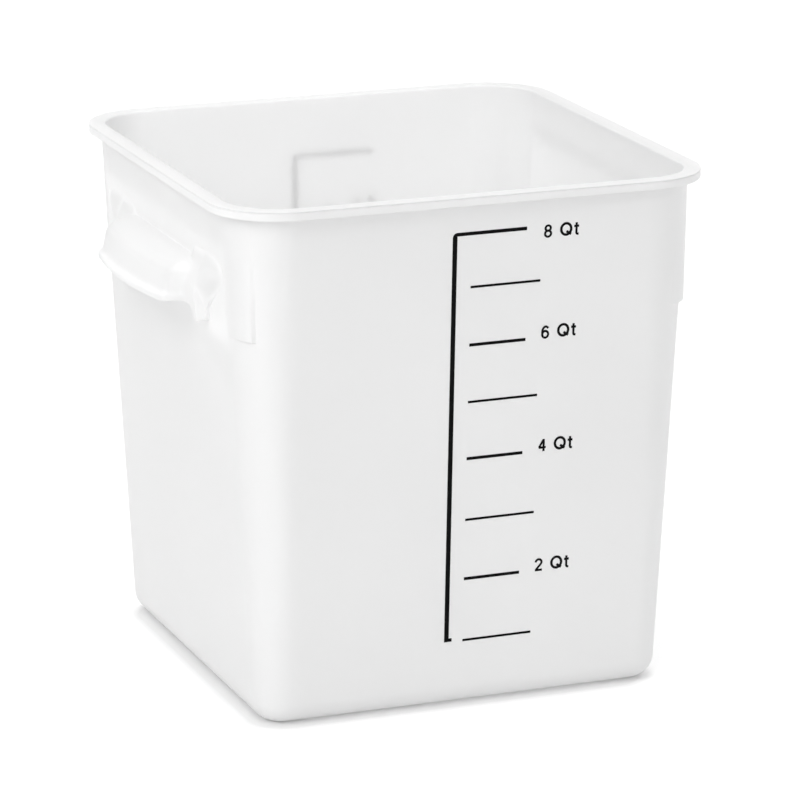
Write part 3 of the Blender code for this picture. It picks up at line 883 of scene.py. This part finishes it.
def curve_film(curve, place):
    """The mesh of a flat curve or letter, as a film of ink whose underside is at the place's zero."""
    curve.extrude = INK_THICK / 2
    mesh = as_mesh(placed(curve.name, curve))
    mesh.transform(place @ Matrix.Translation((0, 0, INK_THICK / 2)))
    return mesh


def film_piece(name, meshes, nodes):
    """One piece of several films, merged and with its faces turned outwards."""
    form = bmesh.new()
    for mesh in meshes:
        form.from_mesh(mesh)
    bmesh.ops.remove_doubles(form, verts=form.verts, dist=INK_WELD)
    whole = settled(form, bpy.data.meshes.new(name))
    whole.materials.clear()
    whole.materials.append(ink)
    new_piece(name, whole, "ink", *nodes)


def frame_curve(name, place, way, top, bottom, length):
    """The upright and the top line, with a round corner between them and a short hook at the foot."""
    left = -BAR_WIDE / 2
    right = BAR_WIDE / 2
    outline = [(right, bottom + TOP_WIDE), (right, top - TOP_WIDE), (length, top - TOP_WIDE), (length, top)]
    for step in range(ARC_STEPS + 1):
        angle = QUARTER_TURN * step / ARC_STEPS
        outline.append((left + BAR_CORNER * (1 - math.sin(angle)), top - BAR_CORNER * (1 - math.cos(angle))))
    outline += [(left, bottom), (BAR_HOOK, bottom), (BAR_HOOK, bottom + TOP_WIDE)]
    curve = bpy.data.curves.new(name, "CURVE")
    curve.dimensions = "2D"
    curve.fill_mode = "BOTH"
    spline = curve.splines.new("POLY")
    spline.points.add(len(outline) - 1)
    for point, (x, y) in zip(spline.points, outline):
        point.co = (place + way * x, y, 0, 1)
    spline.use_cyclic_u = True
    return curve


def tick_tree():
    """Stands a bar of ink on each point, as long and as thick as the point says."""
    tree = Tree("printed_ticks", **{"Film": "Float", "Material": "Material"})
    start = tree.start.outputs
    bar = tree.add("GeometryNodeMeshCube", {"Size": (1.0, 1.0, 1.0)})[0]
    sizes = {"X": tree.read("long"), "Y": tree.read("thick"), "Z": start["Film"]}
    size = tree.add("ShaderNodeCombineXYZ", sizes)[0]
    bars = tree.add("GeometryNodeInstanceOnPoints",
                    {"Points": start["Geometry"], "Instance": bar, "Scale": size})[0]
    return tree.finish(bars, start["Material"])


def make_ticks(name, place, way, shares, turn):
    points, long, thick = [], [], []
    for number, share in enumerate(shares, 1):
        even = number % 2 == 0
        length = TICK_SHORT if even else TICK_LONG
        points.append(Vector((place + way * (TICK_INSET + length / 2), up_wall(share), INK_THICK / 2)))
        long.append(length)
        thick.append(TICK_THICK if even else TICK_THIN)
    marks = strip(name, points, False, long=long, thick=thick)
    mesh = grown(marks, tick_tree(), Film=INK_THICK, Material=ink)
    mesh.transform(print_place(turn))
    nodes = [f"{name[:-1]}_{number}" for number in range(1, len(shares) + 1)]
    film_piece(name, [mesh], nodes)


def arc(x, y, wide, high, first, last):
    """Points of a round stroke, in shares of a letter's width and height, with its angles in degrees."""
    count = max(round(abs(last - first) / LETTER_ARC), 1)
    angles = [math.radians(first + (last - first) * step / count) for step in range(count + 1)]
    return [(x + wide * math.cos(angle), y + high * math.sin(angle)) for angle in angles]


# The strokes of each letter, in shares of its width and height from pen middle to pen middle
LETTER_STROKES = {
    "2": [arc(0.5, 0.73, 0.5, 0.27, 178, -32) + [(0.06, 0.03)], [(-0.1, 0), (1.1, 0)]],
    "4": [[(0.78, -0.06), (0.78, 1.06)], [(0.74, 1.0), (0.0, 0.29)], [(-0.04, 0.29), (1.14, 0.29)]],
    "6": [arc(0.5, 0.30, 0.5, 0.30, 0, 360), arc(0.56, 0.53, 0.56, 0.47, 40, 180) + [(0.0, 0.30)]],
    "8": [arc(0.5, 0.27, 0.5, 0.27, 0, 360), arc(0.5, 0.765, 0.44, 0.235, 0, 360)],
    "Q": [arc(0.5, 0.5, 0.5, 0.5, 0, 360), [(0.53, 0.31), (1.0, 0.02)]],
    "t": [[(0.44, 1.06), (0.44, 0.14), (0.56, 0.03), (0.8, 0.0), (1.3, 0.0)], [(-0.45, 0.735), (1.4, 0.735)]],
    "L": [[(0.0, 1.06), (0.0, -0.06)], [(0.0, 0.0), (1.1, 0.0)]],
}


def pen_tree():
    """Draws each line as a flat stroke of ink, and joins the strokes of a letter."""
    tree = Tree("pen_strokes", **{"Pen": "Float", "Film": "Float", "Material": "Material"})
    start = tree.start.outputs
    nib = tree.add("GeometryNodeCurvePrimitiveQuadrilateral",
                   {"Width": start["Pen"], "Height": start["Film"]})[0]
    line = tree.add("GeometryNodeMeshToCurve", {"Mesh": start["Geometry"]})[0]
    stroke = tree.add("GeometryNodeCurveToMesh", {"Curve": line, "Profile Curve": nib, "Fill Caps": True})[0]
    whole = tree.add("GeometryNodeMeshBoolean", {"Mesh 2": stroke, "Self Intersection": True},
                     operation="UNION", solver="EXACT")[0]
    return tree.finish(whole, start["Material"])


def draw_letter(text, wide, high, pen, tree):
    points, edges = [], []
    for stroke in LETTER_STROKES[text]:
        first = len(points)
        closed = math.dist(stroke[0], stroke[-1]) < STROKE_MEETS
        for x, y in stroke[:-1] if closed else stroke:
            points.append((pen / 2 + x * (wide - pen), pen / 2 + y * (high - pen), INK_THICK / 2))
        edges += [(i, i + 1) for i in range(first, len(points) - 1)]
        if closed:
            edges.append((len(points) - 1, first))
    mesh = bpy.data.meshes.new(f"letter_{text}")
    mesh.from_pydata(points, edges, [])
    return grown(placed(mesh.name, mesh), tree, Pen=pen, Film=INK_THICK, Material=ink)


def make_scale(name, place, way, top_length, shares, letters, turn):
    heights = [up_wall(share) for share in shares]
    top = heights[-1] + TOP_WIDE / 2
    wall = print_place(turn)
    film = curve_film(frame_curve(f"{name}_lines", place, way, top, heights[0], top_length), wall)
    film_piece(f"{name}_lines", [film], [f"{name}_frame"])
    make_ticks(f"{name}_ticks", place, way, shares[:-1], turn)
    films, nodes, tree = [], [], pen_tree()
    for number, height in enumerate(heights, 1):
        if number % 2:
            continue
        low = top - LETTER_HIGH if number == len(heights) else height - TICK_THICK / 2
        for letter, start, wide, high, pen, lift in letters:
            letter_mesh = draw_letter(str(number) if letter == "number" else letter, wide, high, pen, tree)
            letter_mesh.transform(wall @ Matrix.Translation((place + start, low + lift, 0)))
            films.append(letter_mesh)
            nodes.append(f"{name}_label_{number}_{letter}")
    film_piece(f"{name}_labels", films, nodes)


make_scale("quart_scale", QUART_PLACE, 1, QUART_TOP, QUART_SHARES, QUART_LETTERS, 0)
make_scale("litre_scale", LITRE_PLACE, -1, LITRE_TOP, LITRE_SHARES, LITRE_LETTERS, math.pi)


# The table top: a plain white sheet that the container stands on. It takes the container's shadow, but
# painted light seen by the camera, gloss and glass turns it white from a little way out from the foot, over
# that shadow too, so that only the shade close at the foot stays.
FLOOR_HALF = 6.0
FLOOR_COLOUR = (0.90, 0.90, 0.90, 1.0)
FLOOR_ROUGH = 0.9
# Painted light that the camera, gloss and glass see on top of the lit colour: little at the container's foot,
# so that its shadow stays there, more a little way out, where it paints over the rest of that shadow, and
# more again far behind. Each lift is two distances from a square at the foot, and the levels there.
FOOT_MIDDLE = (-0.004, -0.004, 0.0)
FOOT_SQUARE = 0.076
PAINTED_FLOOR_LIGHTS = ((0.0145, 0.0235, 0.05, 0.42), (0.3, 2.5, 0.0, 0.22))


def seen_white(tree):
    """1 for what the camera, a gloss or a glass sees, and 0 for light on its way to a surface."""
    path = tree.nodes.new("ShaderNodeLightPath").outputs
    total = path["Is Camera Ray"]
    for name in ("Is Glossy Ray", "Is Transmission Ray"):
        total = worked(tree, "MAXIMUM", total, path[name])
    return total


def floor_lift(tree):
    """The painted light that is seen on top of the lit colour, by distance from the square at the foot."""
    away = tree.nodes.new("ShaderNodeTexCoord").outputs["Object"]
    square = (FOOT_SQUARE, FOOT_SQUARE, FOOT_SQUARE)
    for operation, other in (("SUBTRACT", FOOT_MIDDLE), ("ABSOLUTE", None), ("SUBTRACT", square),
                             ("MAXIMUM", (0, 0, 0)), ("LENGTH", None)):
        step = tree.nodes.new("ShaderNodeVectorMath")
        step.operation = operation
        tree.links.new(away, step.inputs[0])
        if other:
            step.inputs[1].default_value = other
        away = step.outputs["Value" if operation == "LENGTH" else "Vector"]
    near, far = [stepped(tree, away, lift[:2], *lift[2:]) for lift in PAINTED_FLOOR_LIGHTS]
    return worked(tree, "ADD", near, far)


def make_floor():
    mesh = bpy.data.meshes.new("table_top")
    corners = [(x * FLOOR_HALF, y * FLOOR_HALF, 0) for x, y in ((-1, -1), (1, -1), (1, 1), (-1, 1))]
    mesh.from_pydata(corners, [], [(0, 1, 2, 3)])
    material, shader = new_material("white_sheet", FLOOR_ROUGH, 0.0)
    tree = material.node_tree
    shader.inputs["Base Color"].default_value = FLOOR_COLOUR
    shader.inputs["Emission Color"].default_value = (1, 1, 1, 1)
    # a painted glow on the floor, seen by the camera, gloss and glass, low at the foot and whitening its
    # shadow beyond
    shown = worked(tree, "MULTIPLY", seen_white(tree), floor_lift(tree))
    tree.links.new(shown, shader.inputs["Emission Strength"])
    mesh.materials.append(material)
    placed("table_top", mesh)


make_floor()


# The light: a pale room that fills from all sides, a large soft panel high at the left front, and weak ones
# at the left, the front and the right and overhead, so that the walls darken gently towards the right.
ROOM_LIGHT = 0.418
PANELS_AIM = Vector((0, 0, 0.12))
PANELS = (
    # name, place, width, height, watts
    ("key_panel", (-1.75, -1.35, 1.9), 1.6, 1.6, 25.0),
    ("left_panel", (-2.6, 0.0, 1.6), 1.8, 1.8, 7.5),
    ("front_panel", (-0.4, -3.2, 0.9), 2.2, 1.6, 11.6),
    ("right_panel", (2.5, 0.2, 0.8), 1.6, 1.6, 12.6),
    ("top_panel", (-0.3, 0.0, 2.6), 1.6, 1.6, 20.0),
)


def make_room():
    world = bpy.data.worlds.new("room")
    bpy.context.scene.world = world
    world.use_nodes = True
    tree = world.node_tree
    shade = tree.nodes["Background"]
    shade.inputs["Color"].default_value = (1, 1, 1, 1)
    tree.links.new(stepped(tree, seen_white(tree), (0.0, 1.0), ROOM_LIGHT, 1.0), shade.inputs["Strength"])


def make_panel(name, place, width, height, watts):
    light = bpy.data.lights.new(name, "AREA")
    light.shape = "RECTANGLE"
    light.size = width
    light.size_y = height
    light.energy = watts
    item = placed(name, light)
    item.location = place
    item.rotation_mode = "QUATERNION"
    item.rotation_quaternion = (PANELS_AIM - Vector(place)).to_track_quat("-Z", "Y")
    item.visible_camera = False


make_room()
for panel in PANELS:
    make_panel(*panel)


# The camera: at the photograph's angle, well back and with a long lens. It looks down a little at the front
# wall, with the left handle in view.
CAMERA_TARGET = Vector((0.005641, 0.0, 0.112395))
CAMERA_TURN = math.radians(-21.102)
CAMERA_RISE = math.radians(15.538)
CAMERA_ROLL = math.radians(0.019)
CAMERA_AWAY = 2.014487
CAMERA_LENS = 202.94
CAMERA_SENSOR = 36.0


def make_camera():
    camera = bpy.data.cameras.new("camera")
    camera.lens = CAMERA_LENS
    camera.sensor_width = CAMERA_SENSOR
    item = placed("camera", camera)
    level = math.cos(CAMERA_RISE)
    back = Vector((math.sin(CAMERA_TURN) * level, -math.cos(CAMERA_TURN) * level, math.sin(CAMERA_RISE)))
    right = Vector((math.cos(CAMERA_TURN), math.sin(CAMERA_TURN), 0))
    up = back.cross(right)
    right_rolled = right * math.cos(CAMERA_ROLL) + up * math.sin(CAMERA_ROLL)
    up_rolled = up * math.cos(CAMERA_ROLL) - right * math.sin(CAMERA_ROLL)
    item.matrix_world = Matrix.Translation(CAMERA_TARGET + back * CAMERA_AWAY) @ Matrix(
        (right_rolled, up_rolled, back)).transposed().to_4x4()
    bpy.context.scene.camera = item
    bpy.context.scene.view_settings.view_transform = "Standard"


make_camera()
